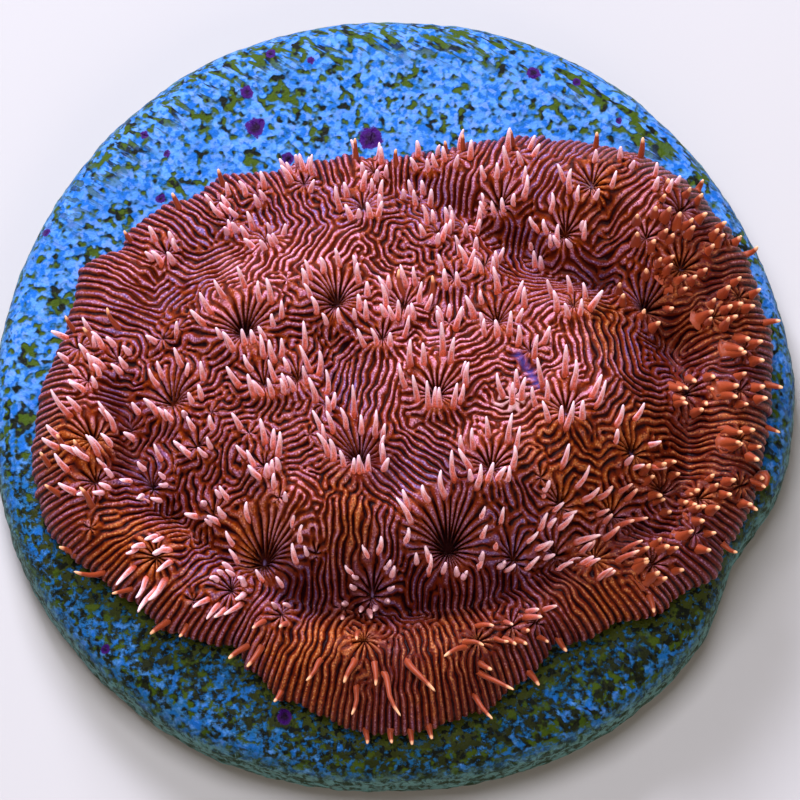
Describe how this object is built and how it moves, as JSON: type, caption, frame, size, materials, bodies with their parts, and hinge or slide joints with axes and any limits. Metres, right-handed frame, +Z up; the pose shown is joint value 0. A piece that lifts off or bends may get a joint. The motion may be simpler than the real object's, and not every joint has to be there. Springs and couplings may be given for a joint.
{
  "type": "cactus coral on a frag disc",
  "caption": "Low encrusting coral crust with fine winding ridges and short finger tentacles, grown over a thick round disc with rounded edges.",
  "frame": {"origin": "centre of the disc's bounding box, on its flat underside", "axes": "+Z up through the coral, -Y towards the side the coral reaches nearest, +X to the right seen from there"},
  "size_m": [0.0322, 0.0322, 0.0107],
  "materials": {
    "disc": "matte",
    "coral": "satin"
  },
  "bodies": {
    "root": {"frag_disc": "disc", "coral_colony": "coral"}
  },
  "joints": []
}
